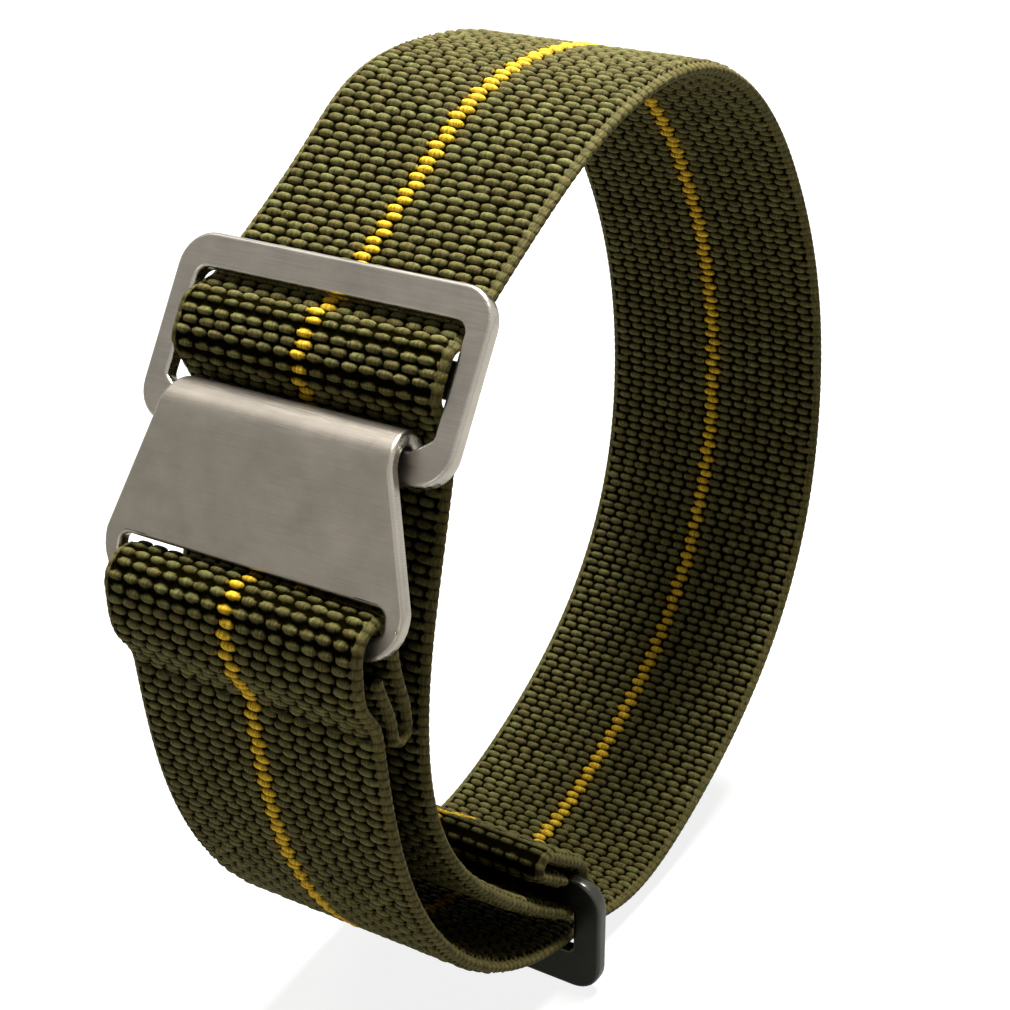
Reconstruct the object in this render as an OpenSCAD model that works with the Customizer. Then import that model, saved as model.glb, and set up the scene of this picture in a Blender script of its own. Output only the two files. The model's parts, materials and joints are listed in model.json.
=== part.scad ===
// Elastic watch band of the one-piece kind, closed round a wrist form.
// One length of woven elastic webbing carries three pieces of stamped steel plate:
// an adjuster ring with three bars, a hook plate that hangs on the ring's lowest bar,
// and a keeper frame that ties both webbing layers together at the bottom.
// X runs across the band, Y from the clasp to the back, Z up.

/* [Webbing] */
// Width of the webbing, which is the lug gap that it fits
web_w = 20; // [18:0.5:22]
// Thickness of the webbing
web_t = 1.2; // [1.0:0.05:1.4]
// Width of the woven centre stripe
stripe_w = 1.4; // [0.8:0.1:3]
// Depth of the stripe's yarns below each face of the webbing
stripe_t = 0.25; // [0.15:0.05:0.35]
// Gap between the webbing and a bar that it is folded round
web_gap = 0.12; // [0.08:0.02:0.2]

/* [Loop] */
// Height of the highest point of the webbing's middle line
loop_h = 67.1; // [65:0.1:70]
// Depth of the closed band from the hook's fold to the back
loop_d = 67.5; // [65:0.1:72]
// Distance from the clasp side to the loop's highest point
crest_y = 38.9; // [36:0.1:42]
// Height of the rearmost point of the loop
back_z = 31.9; // [28:0.1:36]
// Distance from the back to the point where the upper back turns into the top
shoulder_in = 9.2; // [8:0.1:11]
// Distance from the loop's highest point down to that point
shoulder_drop = 10.8; // [9:0.1:13]
// Heading of the webbing there
shoulder_a = 127; // [122:1:132]
// Distance from the clasp side to the point where the bottom turns into the back
heel_y = 46; // [44:0.1:50]
// Height of that point
heel_z = 4.3; // [4:0.1:5.5]
// Heading of the webbing there
heel_a = 22; // [18:1:26]
// Distance of the inner layer from the clasp side, halfway down the front
waist_y = 7.2; // [6.6:0.1:9]
// Height of that point
waist_z = 31; // [28:0.5:34]
// Heading of the webbing there
waist_a = 271; // [268:1:274]
// Heading of the webbing down from the hook
front_a = -82; // [-88:1:-78]

/* [Adjuster ring] */
// Distance from the loop's highest point down to the ring's centre
ring_drop = 12.6; // [11:0.1:14]
// Lean of the ring from upright
ring_lean = 31.3; // [25:0.5:36]
// Thickness of the ring's plate
ring_t = 1.2; // [1.0:0.05:1.4]
// Width of the ring's two side bars
ring_side_w = 1.7; // [1.6:0.1:3]
// Height of the ring's top bar
ring_top_h = 2.3; // [1.4:0.1:2.4]
// Height of the ring's middle bar, which the webbing is folded over
ring_mid_h = 2.4; // [1.8:0.1:3]
// Thickness of the middle bar, which is set back flush with the ring's rear
ring_mid_t = 0.8; // [0.6:0.05:0.9]
// Height of the ring's lowest bar, which the hook hangs on
ring_low_h = 2.1; // [1.8:0.1:2.3]
// Play of one webbing layer in the ring's upper window
ring_play = 1.1; // [0.9:0.05:1.5]
// Outer corner radius of the ring
ring_corner = 2.4; // [1:0.1:3]
// Play between the webbing's fold and the hook's bend
fold_play = 0.9; // [0.4:0.1:1.2]
// Turn of the webbing round the edge of the top bar, before it is parallel to the ring
ring_lead = 27; // [20:1:32]
// Heading of the inner layer where it leaves the hook's lip
drop_a = 258.5; // [255:0.5:262]

/* [Hook plate] */
// Thickness of the hook's plate
hook_t = 1.0; // [0.8:0.05:1.2]
// Inner radius of the hook's bend
hook_bend_r = 1.3; // [1.25:0.05:1.5]
// Length of the hook's lip behind the ring's lowest bar, from the bar's centre
hook_lip = 1.2; // [0.6:0.1:1.4]
// Lean of the hook's plate from upright
hook_lean = 18.5; // [14:0.5:22]
// Length of the hook's plate from the bend's centre to the lower edge
hook_l = 11.6; // [10:0.1:14]
// Width of the hook's plate at the bend
hook_top_w = 17; // [14:0.5:19.6]
// Added width on each side where the hook's plate turns into its bend
hook_flare = 0.5; // [0:0.1:0.8]
// Height of the hook's slot
hook_slot_h = 1.7; // [1.6:0.1:3]
// Height of the slot bar under the slot
hook_bar_h = 1.8; // [1.6:0.1:2.6]
// Width of the plate beside the slot's ends
hook_side_w = 1.4; // [1.4:0.1:2.6]
// Corner radius at the hook's lower edge
hook_corner = 3.0; // [1:0.1:3.6]

/* [Keeper frame] */
// Distance of the keeper frame from the clasp side of the band
keeper_y = 26.1; // [24:0.1:28]
// Thickness of the keeper's plate
keeper_t = 1.2; // [1.0:0.05:1.4]
// Height of the keeper's upper bar, which the webbing's end is sewn round
keeper_top_h = 2.4; // [2:0.1:2.8]
// Height of the keeper's lower bar
keeper_low_h = 3.2; // [2.4:0.1:3.8]
// Height of the keeper's window
keeper_window_h = 4.0; // [3.9:0.1:5]
// Width of the keeper's side bars
keeper_side_w = 2.3; // [1.8:0.1:3]
// Outer corner radius of the keeper
keeper_corner = 2.2; // [0.8:0.1:2.6]
// Heading of the band where it runs through the keeper's window
pass_a = -8; // [-12:1:-4]
// Heading of the inner layer where it meets the keeper's upper bar
tuck_a = -36; // [-40:1:-30]

/* [Sewn ends] */
// Radius of the middle line where a webbing end is folded back
hem_r = 0.76; // [0.72:0.02:1]
// Length of the folded hem below the hook's slot bar
hook_hem_l = 7.0; // [5:0.1:9]
// Length of the folded hem in front of the keeper's upper bar
keeper_hem_l = 5.6; // [5:0.1:7]
// Length of one stitch
stitch_l = 1.3; // [0.8:0.1:1.8]
// Distance between stitches
stitch_pitch = 2.2; // [2.0:0.1:3]
// Thickness of the sewing thread
stitch_t = 0.3; // [0.2:0.05:0.4]
// Distance from the hook's seam to the fold of its hem
hook_seam_in = 0.8; // [0.6:0.1:2]
// Distance from the keeper's seam to the fold of its hem
keeper_seam_in = 1.5; // [0.8:0.1:2.4]

/* [Hidden] */

olive = [0.34, 0.33, 0.17];
dark_olive = [0.26, 0.25, 0.12];
yellow = [0.93, 0.73, 0.10];
steel = [0.62, 0.60, 0.57];
thread = [0.22, 0.22, 0.11];

// Clearances and edge breaks that the pieces share
side_play = 0.15;    // webbing to each end of a window
layer_gap = 0.3;    // webbing to a bar that it only passes
edge = 0.3;         // broken edge of every bar
cut = 0.05;         // overshoot of a cut past a face
window_r = 0.4;     // corner radius of the ring's upper window
slant_r = 0.5;      // corner radii at the ring's slanted corners
shoulder_r = 1.5;   // corner radius where the hook's sides turn straight down
slot_r = 0.4;       // corner radius of the hook's slot
pass_r = 0.4;       // corner radius of the keeper's window
arc_steps = 10;     // segments in a quarter turn
span_steps = 18;    // segments in a free run

window_w = web_w + 2 * side_play;
clasp_y = -loop_d / 2;

// A point of the webbing's middle line is [y, z, heading]. Its left normal points into the loop.
function dir(a) = [cos(a), sin(a)];
function left(a) = [-sin(a), cos(a)];
function xy(p) = [p[0], p[1]];
function at(p, a) = [p[0], p[1], a];

// Arc about c; turn is 1 for a left turn and -1 for a right turn, a0 and a1 are its end headings
function arc(c, r, turn, a0, a1) =
    let (n = max(2, ceil(abs(a1 - a0) / 90 * arc_steps)))
    [for (i = [0:n]) let (a = a0 + (a1 - a0) * i / n) at(c - turn * r * left(a), a)];

// Cubic curve from p0 at heading a0 to p1 at heading a1; k0 and k1 are its handles over the chord
function span(p0, a0, p1, a1, k0 = 0.36, k1 = 0.36) =
    let (chord = norm(p1 - p0), c0 = p0 + k0 * chord * dir(a0), c1 = p1 - k1 * chord * dir(a1))
    [for (i = [0:span_steps]) let (
        t = i / span_steps, s = 1 - t,
        p = s*s*s * p0 + 3*s*s*t * c0 + 3*s*t*t * c1 + t*t*t * p1,
        v = s*s * (c0 - p0) + 2*s*t * (c1 - c0) + t*t * (p1 - c1))
        at(p, i == 0 ? a0 : i == span_steps ? a1 : near(atan2(v[1], v[0]), a0))];

// An angle brought between -180 and 180, and one brought within a half turn of another
function turned(a) = a - 360 * floor((a + 180) / 360);
function near(a, other) = other + turned(a - other);

// Heading of the straight line that leaves circle 0 and meets circle 1, both with signed radii
function tangent(c0, r0, c1, r1) =
    let (v = c1 - c0) atan2(v[1], v[0]) - asin((r1 - r0) / norm(v));

function chain(list) = [for (part = list) for (p = part) p];

// Radius of the middle line folded round a bar of height h and thickness t
function wrap_r(h, t) = norm([h / 2 - edge, t / 2 - edge]) + edge + web_gap + web_t / 2;

// Adjuster ring: s runs up its plate, n out of its front face
ring_up = dir(90 - ring_lean);
ring_out = dir(180 - ring_lean);
ring_down_a = 270 - ring_lean;
hook_out_r = hook_bend_r + hook_t;
ring_slot_top = web_t + ring_play;
ring_slot_low = web_t + web_gap + hook_out_r - ring_low_h / 2 + fold_play;
ring_h = ring_top_h + ring_slot_top + ring_mid_h + ring_slot_low + ring_low_h;
ring_w = window_w + 2 * ring_side_w;
ring_slant = (window_w - hook_top_w) / 2 - layer_gap;
ring_top_s = ring_h / 2 - ring_top_h;
ring_mid_s = ring_top_s - ring_slot_top - ring_mid_h;
ring_low_s = -ring_h / 2 + ring_low_h;

// Hook plate: s runs up its plate from the bend's centre, n out of its front face
hook_up = dir(90 - hook_lean);
hook_out = dir(180 - hook_lean);
hook_low_w = window_w + 2 * hook_side_w;
hook_mid_r = hook_bend_r + hook_t / 2;
slot_bar_r = wrap_r(hook_bar_h, hook_t);

// The hook and the ring hang so that the webbing's fold on the slot bar is the foremost point
low_bar_from_ring = (ring_low_h - ring_h) / 2 * ring_up - ring_t / 2 * ring_out;
slot_bar_from_low = (hook_bar_h / 2 - hook_l) * hook_up + hook_mid_r * hook_out;
slot_bar_y = clasp_y + slot_bar_r + web_t / 2;
ring_c = [slot_bar_y - low_bar_from_ring[0] - slot_bar_from_low[0], loop_h - ring_drop];
function on_ring(s, n) = ring_c + s * ring_up + n * ring_out;
ring_low_c = ring_c + low_bar_from_ring;
ring_mid_c = on_ring(ring_mid_s + ring_mid_h / 2, -ring_t + ring_mid_t / 2);
slot_bar_c = ring_low_c + slot_bar_from_low;
slot_front = slot_bar_c - slot_bar_r * left(front_a);
slot_back = slot_bar_c + slot_bar_r * left(front_a);
front_top = slot_front + hook_hem_l * dir(front_a);
hook_hem_c = front_top + (web_t + web_gap + hem_r) * left(front_a);
hook_tuck_l = hook_hem_l - hook_bar_h / 2 - web_t;

// Side profile of the hook: up the plate, over the ring's lowest bar and down the lip behind it
hook_profile = chain([
    [at([-hook_mid_r, -hook_l], 90)],
    arc([0, 0], hook_mid_r, -1, 90, -90),
    [at([hook_mid_r, -hook_lip], -90)]]);

// Webbing at the ring: under the top bar, over the middle bar, behind the lowest bar and the hook
fold_r = edge + web_gap + web_t / 2;
lip_r = hook_out_r + layer_gap + web_t / 2;
over_top = on_ring(ring_top_s + edge, -ring_t + edge);
mid_front_n = -ring_t + ring_mid_t - edge;
mid_upper = on_ring(ring_mid_s + ring_mid_h - edge, mid_front_n);
mid_lower = on_ring(ring_mid_s + edge, mid_front_n);
lead_a = ring_down_a - ring_lead;
climb_a = near(tangent(over_top, -fold_r, mid_upper, fold_r), ring_down_a);
dive_a = near(tangent(mid_lower, fold_r, ring_low_c, -lip_r), ring_down_a);

// Keeper frame: it stands upright and its lower edge is the band's lowest point
keeper_c_y = clasp_y + keeper_y;
keeper_h = keeper_low_h + keeper_window_h + keeper_top_h;
keeper_w = window_w + 2 * keeper_side_w;
keeper_bar_c = [keeper_c_y, keeper_h - keeper_top_h / 2];
keeper_r = wrap_r(keeper_top_h, keeper_t);
keeper_pass = [keeper_c_y, keeper_low_h + layer_gap + web_t / 2];
hem_rise_a = tuck_a + 180;
keeper_tuck_l = keeper_hem_l - keeper_top_h / 2 - layer_gap;

// Free stations of the loop
heel = [clasp_y + heel_y, heel_z];
rear = [loop_d / 2 - web_t / 2, back_z];
shoulder = [loop_d / 2 - shoulder_in, loop_h - shoulder_drop];
crest = [clasp_y + crest_y, loop_h];
waist = [clasp_y + waist_y, waist_z];

// The webbing's middle line, from the hook's hem round to the keeper's hem
hook_hem_line = chain([
    [at(hook_hem_c - hem_r * left(front_a) - hook_tuck_l * dir(front_a), front_a)],
    arc(hook_hem_c, hem_r, 1, front_a, front_a + 180),
    span(hook_hem_c + hem_r * left(front_a), front_a + 180, slot_back, front_a + 180)]);
hook_loop_line = chain([
    arc(slot_bar_c, slot_bar_r, 1, front_a + 180, front_a + 360),
    [at(front_top, front_a + 360)]]);
front_line = span(front_top, front_a, keeper_pass, pass_a, 0.40, 0.36);
bottom_line = span(keeper_pass, pass_a, heel, heel_a, 0.36, 0.58);
lower_back_line = span(heel, heel_a, rear, 90, 0.39, 0.41);
upper_back_line = span(rear, 90, shoulder, shoulder_a);
top_line = span(shoulder, shoulder_a, crest, 180);
ring_line = span(crest, 180, over_top + fold_r * left(lead_a), lead_a);
fold_line = chain([
    arc(over_top, fold_r, -1, lead_a, climb_a),
    arc(mid_upper, fold_r, 1, climb_a, ring_down_a),
    arc(mid_lower, fold_r, 1, ring_down_a, dive_a),
    arc(ring_low_c, lip_r, -1, dive_a, drop_a)]);
keeper_loop_start = keeper_bar_c - keeper_r * left(tuck_a);
inner_line = chain([
    span(ring_low_c + lip_r * left(drop_a), drop_a, waist, waist_a),
    span(waist, waist_a, keeper_loop_start, tuck_a + 360, 0.36, 0.42)]);
hem_rise = keeper_bar_c - keeper_r * left(hem_rise_a);
keeper_hem_c = hem_rise + keeper_hem_l * dir(hem_rise_a) + hem_r * left(hem_rise_a);
keeper_loop_line = arc(keeper_bar_c, keeper_r, 1, tuck_a, hem_rise_a);
keeper_hem_line = chain([
    [at(hem_rise, hem_rise_a)],
    arc(keeper_hem_c, hem_r, 1, hem_rise_a, hem_rise_a + 180),
    [at(keeper_hem_c + hem_r * left(hem_rise_a) - keeper_tuck_l * dir(hem_rise_a),
        hem_rise_a + 180)]]);
strap_line = chain([bottom_line, lower_back_line, upper_back_line, top_line, ring_line,
    fold_line, inner_line, keeper_loop_line, keeper_hem_line]);
hook_line = chain([hook_hem_line, hook_loop_line]);

// Closed outline of a strip along a line, from offset lo to offset hi towards the loop's inside
function strip(line, lo, hi) = concat(
    [for (p = line) xy(p) + lo * left(p[2])],
    [for (i = [len(line) - 1:-1:0]) xy(line[i]) + hi * left(line[i][2])]);

// Drop points that repeat the one before them
function clean(line) = [for (i = [0:len(line) - 1])
    if (i == 0 || norm(xy(line[i]) - xy(line[i - 1])) > 0.001) line[i]];

module across(w) {
    rotate([90, 0, 90]) linear_extrude(height = w, center = true) children();
}

module strip_along(line, w, lo, hi) {
    across(w) polygon(strip(clean(line), lo, hi));
}

// A run of webbing with a groove in each face for the stripe
module webbing(line) {
    h = web_t / 2;
    difference() {
        strip_along(line, web_w, -h, h);
        strip_along(line, stripe_w, -h - cut, -h + stripe_t);
        strip_along(line, stripe_w, h - stripe_t, h + cut);
    }
}

// The stripe's yarns, flush in both grooves
module stripe(line) {
    h = web_t / 2;
    strip_along(line, stripe_w, -h, -h + stripe_t);
    strip_along(line, stripe_w, h - stripe_t, h);
}

// A row of stitches across the webbing that lie on a face at p with outward angle a
module stitch_row(p, a) {
    n = floor((web_w / 2 - stitch_l / 2 - edge) / stitch_pitch);
    for (i = [-n:n]) if (i != 0)
        translate([i * stitch_pitch, p[0], p[1]]) rotate([a, 0, 0])
            translate([-stitch_l / 2, 0, -stitch_t / 2]) cube([stitch_l, stitch_t, stitch_t]);
}

// Rounded outline from corners [x, y, radius], all turning left
function rounded(corners) = let (n = len(corners))
    [for (i = [0:n - 1]) let (
        c = corners[i], p = xy(c),
        a0 = heading(xy(corners[(i + n - 1) % n]), p),
        a1 = a0 + turned(heading(p, xy(corners[(i + 1) % n])) - a0),
        m = p + c[2] * (left(a0) - tan((a1 - a0) / 2) * dir(a0)))
        for (k = [0:c[2] > 0 ? arc_steps : 0]) m - c[2] * left(a0 + (a1 - a0) * k / arc_steps)];
function heading(p, q) = atan2(q[1] - p[1], q[0] - p[0]);

function box_corners(x, y0, y1, r) = [[-x, y0, r], [x, y0, r], [x, y1, r], [-x, y1, r]];

// Section of a plate or bar of height h and thickness t with broken edges
module bar_section(h, t) {
    polygon([[-t/2 + edge, 0], [t/2 - edge, 0], [t/2, edge], [t/2, h - edge],
             [t/2 - edge, h], [-t/2 + edge, h], [-t/2, h - edge], [-t/2, edge]]);
}

// Cuts that break both edges of a window side at height z, across the width w
module edge_breaks(w, t, z) {
    for (side = [-1, 1]) translate([0, side * t / 2, z]) rotate([45, 0, 0])
        cube([w, edge * sqrt(2), edge * sqrt(2)], center = true);
}

// A plate in its own frame: x across, y through it, z up from its lower edge
module plate(outline, t) {
    rotate([90, 0, 0]) linear_extrude(height = t, center = true) polygon(outline);
}

module on_ring_frame() {
    p = on_ring(-ring_h / 2, -ring_t / 2);
    translate([0, p[0], p[1]]) rotate([-ring_lean, 0, 0]) children();
}

module on_hook_frame() {
    translate([0, ring_low_c[0], ring_low_c[1]]) rotate([-hook_lean, 0, 0]) children();
}

module adjuster_ring() {
    low = ring_low_h;
    high = ring_h - ring_top_h;
    mid = low + ring_slot_low;
    slant_top = low + 0.75 * ring_slant;
    slant_x = window_w / 2 - ring_slant;
    color(steel) on_ring_frame() {
        difference() {
            intersection() {
                plate(rounded(box_corners(ring_w / 2, 0, ring_h, ring_corner)), ring_t);
                across(ring_w + 1) bar_section(ring_h, ring_t);
            }
            plate(rounded([
                [-slant_x, low, slant_r], [slant_x, low, slant_r],
                [window_w / 2, slant_top, slant_r], [window_w / 2, high, window_r],
                [-window_w / 2, high, window_r], [-window_w / 2, slant_top, slant_r]]),
                ring_t + 2 * cut);
            edge_breaks(2 * slant_x, ring_t, low);
            edge_breaks(window_w - 2 * window_r, ring_t, high);
        }
        translate([0, ring_t / 2 - ring_mid_t / 2, mid])
            across(window_w + ring_side_w) bar_section(ring_mid_h, ring_mid_t);
    }
}

module hook_plate() {
    low_x = hook_low_w / 2;
    top_x = hook_top_w / 2;
    flare_x = top_x + hook_flare;
    slot_low = -hook_l + hook_bar_h;
    slot_high = slot_low + hook_slot_h;
    wide = -hook_l + hook_corner + shoulder_r / 3;
    color(steel) on_hook_frame() difference() {
        intersection() {
            strip_along(hook_profile, hook_low_w + 1, -hook_t / 2, hook_t / 2);
            plate(rounded([
                [-low_x, -hook_l, hook_corner], [low_x, -hook_l, hook_corner],
                [low_x, wide, shoulder_r], [flare_x, 0, 0], [top_x, hook_out_r, 0],
                [top_x, hook_out_r + 1, 0], [-top_x, hook_out_r + 1, 0],
                [-top_x, hook_out_r, 0], [-flare_x, 0, 0], [-low_x, wide, shoulder_r]]),
                2 * hook_out_r + 1);
        }
        translate([0, -hook_mid_r, 0]) {
            plate(rounded(box_corners(window_w / 2, slot_low, slot_high, slot_r)), hook_t + 2 * cut);
            edge_breaks(window_w - 2 * slot_r, hook_t, slot_low);
            edge_breaks(window_w - 2 * slot_r, hook_t, slot_high);
            edge_breaks(hook_low_w, hook_t, -hook_l);
        }
    }
}

module keeper_frame() {
    high = keeper_low_h + keeper_window_h;
    color(steel) translate([0, keeper_c_y, 0]) difference() {
        intersection() {
            plate(rounded(box_corners(keeper_w / 2, 0, keeper_h, keeper_corner)), keeper_t);
            across(keeper_w + 1) bar_section(keeper_h, keeper_t);
        }
        plate(rounded(box_corners(window_w / 2, keeper_low_h, high, pass_r)), keeper_t + 2 * cut);
        edge_breaks(window_w - 2 * pass_r, keeper_t, keeper_low_h);
        edge_breaks(window_w - 2 * pass_r, keeper_t, high);
    }
}

module bottom_run() { color(olive) webbing(bottom_line); }
module lower_back_run() { color(olive) webbing(lower_back_line); }
module upper_back_run() { color(olive) webbing(upper_back_line); }
module top_run() { color(olive) webbing(top_line); }
module ring_run() { color(olive) webbing(ring_line); }
module ring_fold() { color(olive) webbing(fold_line); }
module inner_run() { color(dark_olive) webbing(inner_line); }
module keeper_end_loop() { color(dark_olive) webbing(keeper_loop_line); }
module keeper_end_hem() { color(dark_olive) webbing(keeper_hem_line); }
module front_run() { color(olive) webbing(front_line); }
module hook_end_loop() { color(olive) webbing(hook_loop_line); }
module hook_end_hem() { color(dark_olive) webbing(hook_hem_line); }
module strap_stripe() { color(yellow) stripe(strap_line); }
module front_stripe() { color(yellow) stripe(front_line); }
module hook_stripe() { color(yellow) stripe(hook_line); }

// Seam through the hook's hem, on the front face of the webbing
module hook_seam() {
    p = front_top - hook_seam_in * dir(front_a) - web_t / 2 * left(front_a);
    color(thread) stitch_row(p, front_a - 90);
}

// Seam through the keeper's hem, on its upper face
module keeper_seam() {
    along = keeper_hem_l - keeper_seam_in;
    p = hem_rise + along * dir(hem_rise_a) - web_t / 2 * left(hem_rise_a);
    color(thread) stitch_row(p, hem_rise_a - 90);
}

bottom_run();
lower_back_run();
upper_back_run();
top_run();
ring_run();
ring_fold();
inner_run();
keeper_end_loop();
keeper_end_hem();
keeper_seam();
strap_stripe();
front_run();
front_stripe();
adjuster_ring();
keeper_frame();
hook_plate();
hook_end_loop();
hook_end_hem();
hook_seam();
hook_stripe();
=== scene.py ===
# An elastic watch band, closed in a loop and hooked shut: one length of woven elastic webbing with a
# yellow stripe, an adjuster ring, a hook plate that hangs on the ring, and a keeper frame at the bottom.
# X runs across the band, Y from the clasp to the back, Z up. Sizes here are in millimetres.

import json
import math

import bpy
import numpy as np
from mathutils import Matrix, Vector


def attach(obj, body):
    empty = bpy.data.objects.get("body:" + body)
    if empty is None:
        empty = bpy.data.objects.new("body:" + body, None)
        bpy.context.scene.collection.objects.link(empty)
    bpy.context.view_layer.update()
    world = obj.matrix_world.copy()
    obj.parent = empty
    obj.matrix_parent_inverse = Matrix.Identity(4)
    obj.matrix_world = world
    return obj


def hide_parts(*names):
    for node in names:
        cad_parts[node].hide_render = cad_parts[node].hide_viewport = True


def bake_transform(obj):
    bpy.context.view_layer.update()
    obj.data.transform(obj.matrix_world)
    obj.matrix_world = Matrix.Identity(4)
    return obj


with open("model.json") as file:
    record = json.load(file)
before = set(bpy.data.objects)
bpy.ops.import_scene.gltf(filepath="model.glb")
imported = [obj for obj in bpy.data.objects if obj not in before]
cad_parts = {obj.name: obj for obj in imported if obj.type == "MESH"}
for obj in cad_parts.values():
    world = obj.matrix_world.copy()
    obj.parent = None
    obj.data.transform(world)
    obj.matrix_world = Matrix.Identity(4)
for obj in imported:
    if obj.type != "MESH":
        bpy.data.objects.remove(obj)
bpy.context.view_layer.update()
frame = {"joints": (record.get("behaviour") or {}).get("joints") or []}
MM = 0.001


# The view: the photograph looks down on the clasp side from the right, through a short telephoto lens.
# The lens is given by its focal length over the width of a square picture.
lens_ratio = 2000 / 1010
camera_place = (70.755, -115.0, 98.0)
camera_azimuth = 31.95
camera_elevation = 25.11

camera_data = bpy.data.cameras.new("camera")
camera_data.sensor_width = 36.0
camera_data.lens = camera_data.sensor_width * lens_ratio
camera_data.clip_start = 0.01
camera = bpy.data.objects.new("camera", camera_data)
camera.matrix_world = (Matrix.Translation(Vector(camera_place) * MM)
                       @ Matrix.Rotation(math.radians(camera_azimuth), 4, "Z")
                       @ Matrix.Rotation(math.radians(90 - camera_elevation), 4, "X"))
bpy.context.scene.collection.objects.link(camera)
bpy.context.scene.camera = camera
bpy.context.scene.view_settings.view_transform = "Standard"


# The studio: a paper floor in a white room, a soft box high behind the band and two weak ones, one on the
# left and one low in front. The camera and the steel see the room, and the boxes light the webbing.
room_light = 0.012
room_seen = 1.0
floor_side = 1.6
floor_glow = 0.86
floor_gleam = 0.40
band_middle = (0.0, 0.0, 0.035)


def colour(code):
    """Linear RGBA of an sRGB hex code, by the sRGB transfer curve."""
    srgb = np.array([int(code[i:i + 2], 16) for i in (1, 3, 5)]) / 255
    linear = np.where(srgb <= 0.04045, srgb / 12.92, ((srgb + 0.055) / 1.055) ** 2.4)
    return (*linear.tolist(), 1.0)


def add(tree, kind, inputs=(), **settings):
    """Adds one shader node with its settings, and sets or links each named input socket."""
    node = tree.nodes.new(kind)
    for name, value in settings.items():
        setattr(node, name, value)
    for socket, value in dict(inputs).items():
        if isinstance(value, bpy.types.NodeSocket):
            tree.links.new(value, node.inputs[socket])
        else:
            node.inputs[socket].default_value = value
    return node


def blank_tree(owner):
    """The owner's node tree with nothing in it."""
    owner.use_nodes = True
    owner.node_tree.nodes.clear()
    return owner.node_tree


def lamp(name, stand, side, watts):
    """A square soft box that stands at a point, in metres, and faces the middle of the band."""
    data = bpy.data.lights.new(name, "AREA")
    data.size = side
    data.energy = watts
    box = bpy.data.objects.new(name, data)
    facing = (Vector(band_middle) - Vector(stand)).to_track_quat("-Z", "Y")
    box.matrix_world = Matrix.Translation(stand) @ facing.to_matrix().to_4x4()
    bpy.context.scene.collection.objects.link(box)


white_room = bpy.data.worlds.new("white_room")
bpy.context.scene.world = white_room
tree = blank_tree(white_room)
path = add(tree, "ShaderNodeLightPath")
seen = add(tree, "ShaderNodeMath", {0: path.outputs["Is Camera Ray"], 1: path.outputs["Is Glossy Ray"]},
           operation="MAXIMUM")
seen = add(tree, "ShaderNodeMath", {0: seen.outputs[0], 1: path.outputs["Is Transmission Ray"]},
           operation="MAXIMUM")
strength = add(tree, "ShaderNodeMapRange",
               {"Value": seen.outputs[0], "To Min": room_light, "To Max": room_seen})
room = add(tree, "ShaderNodeBackground", {"Color": colour("#ffffff"), "Strength": strength.outputs[0]})
add(tree, "ShaderNodeOutputWorld", {"Surface": room.outputs[0]})

lamp("rear_box", (-0.02, 0.13, 0.52), 0.24, 8.4)
lamp("left_box", (-0.27, -0.04, 0.38), 0.16, 0.25)
lamp("front_box", (0.0, -0.40, 0.07), 0.16, 0.16)

floor_paper = bpy.data.materials.new("pale_paper")
tree = blank_tree(floor_paper)
matte = add(tree, "ShaderNodeBsdfDiffuse", {"Color": colour("#8b8a87")})
path = add(tree, "ShaderNodeLightPath")
gleam = add(tree, "ShaderNodeMath", {0: path.outputs["Is Glossy Ray"], 1: floor_gleam},
            operation="MULTIPLY")
seen = add(tree, "ShaderNodeMath", {0: path.outputs["Is Camera Ray"], 1: floor_glow, 2: gleam.outputs[0]},
           operation="MULTIPLY_ADD")
glow = add(tree, "ShaderNodeEmission", {"Color": colour("#ffffff"), "Strength": seen.outputs[0]})
paper = add(tree, "ShaderNodeAddShader", {0: matte.outputs[0], 1: glow.outputs[0]})
add(tree, "ShaderNodeOutputMaterial", {"Surface": paper.outputs[0]})

floor_mesh = bpy.data.meshes.new("floor")
half = floor_side / 2
floor_mesh.from_pydata([(-half, -half, 0), (half, -half, 0), (half, half, 0), (-half, half, 0)],
                       [], [(0, 1, 2, 3)])
floor_mesh.materials.append(floor_paper)
floor = bpy.data.objects.new("floor", floor_mesh)
bpy.context.scene.collection.objects.link(floor)


# The adjuster ring: one stamped plate of nickel-plated steel with three bars across it, barrel-tumbled so
# that its edges are round, then brushed along the bars. The webbing is threaded through its two windows,
# and the ring leans with the webbing's pull. Its s runs up the plate and its n out of the front face.
web_w = 20.0
web_t = 1.2
web_gap = 0.12
layer_gap = 0.3
edge = 0.3
window_w = web_w + 0.3
ring_lean = 31.3
ring_t = 1.2
ring_side_w = 1.7
ring_top_h = 2.3
ring_mid_h = 2.4
ring_mid_t = 0.8
ring_low_h = 2.1
ring_slot_top = 2.3
ring_slot_low = 3.47
ring_corner = 2.4
ring_slant = 1.35
ring_slant_h = 0.75 * ring_slant
ring_slot_r = 0.5
ring_window_r = 0.8
middle_bar_in = 0.3
corner_points = 9
edge_points = 7
plate_steps = 8
ray_step = 0.004

place = {joint["name"]: np.array(joint["pos_m"][1:]) / MM for joint in frame["joints"]}


def toward(angle):
    """Unit vectors (y, z) at headings in degrees."""
    return np.stack([np.cos(np.radians(angle)), np.sin(np.radians(angle))], -1)


def left_of(angle):
    """Unit vectors a quarter turn to the left of headings in degrees."""
    return toward(np.asarray(angle) + 90)


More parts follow.
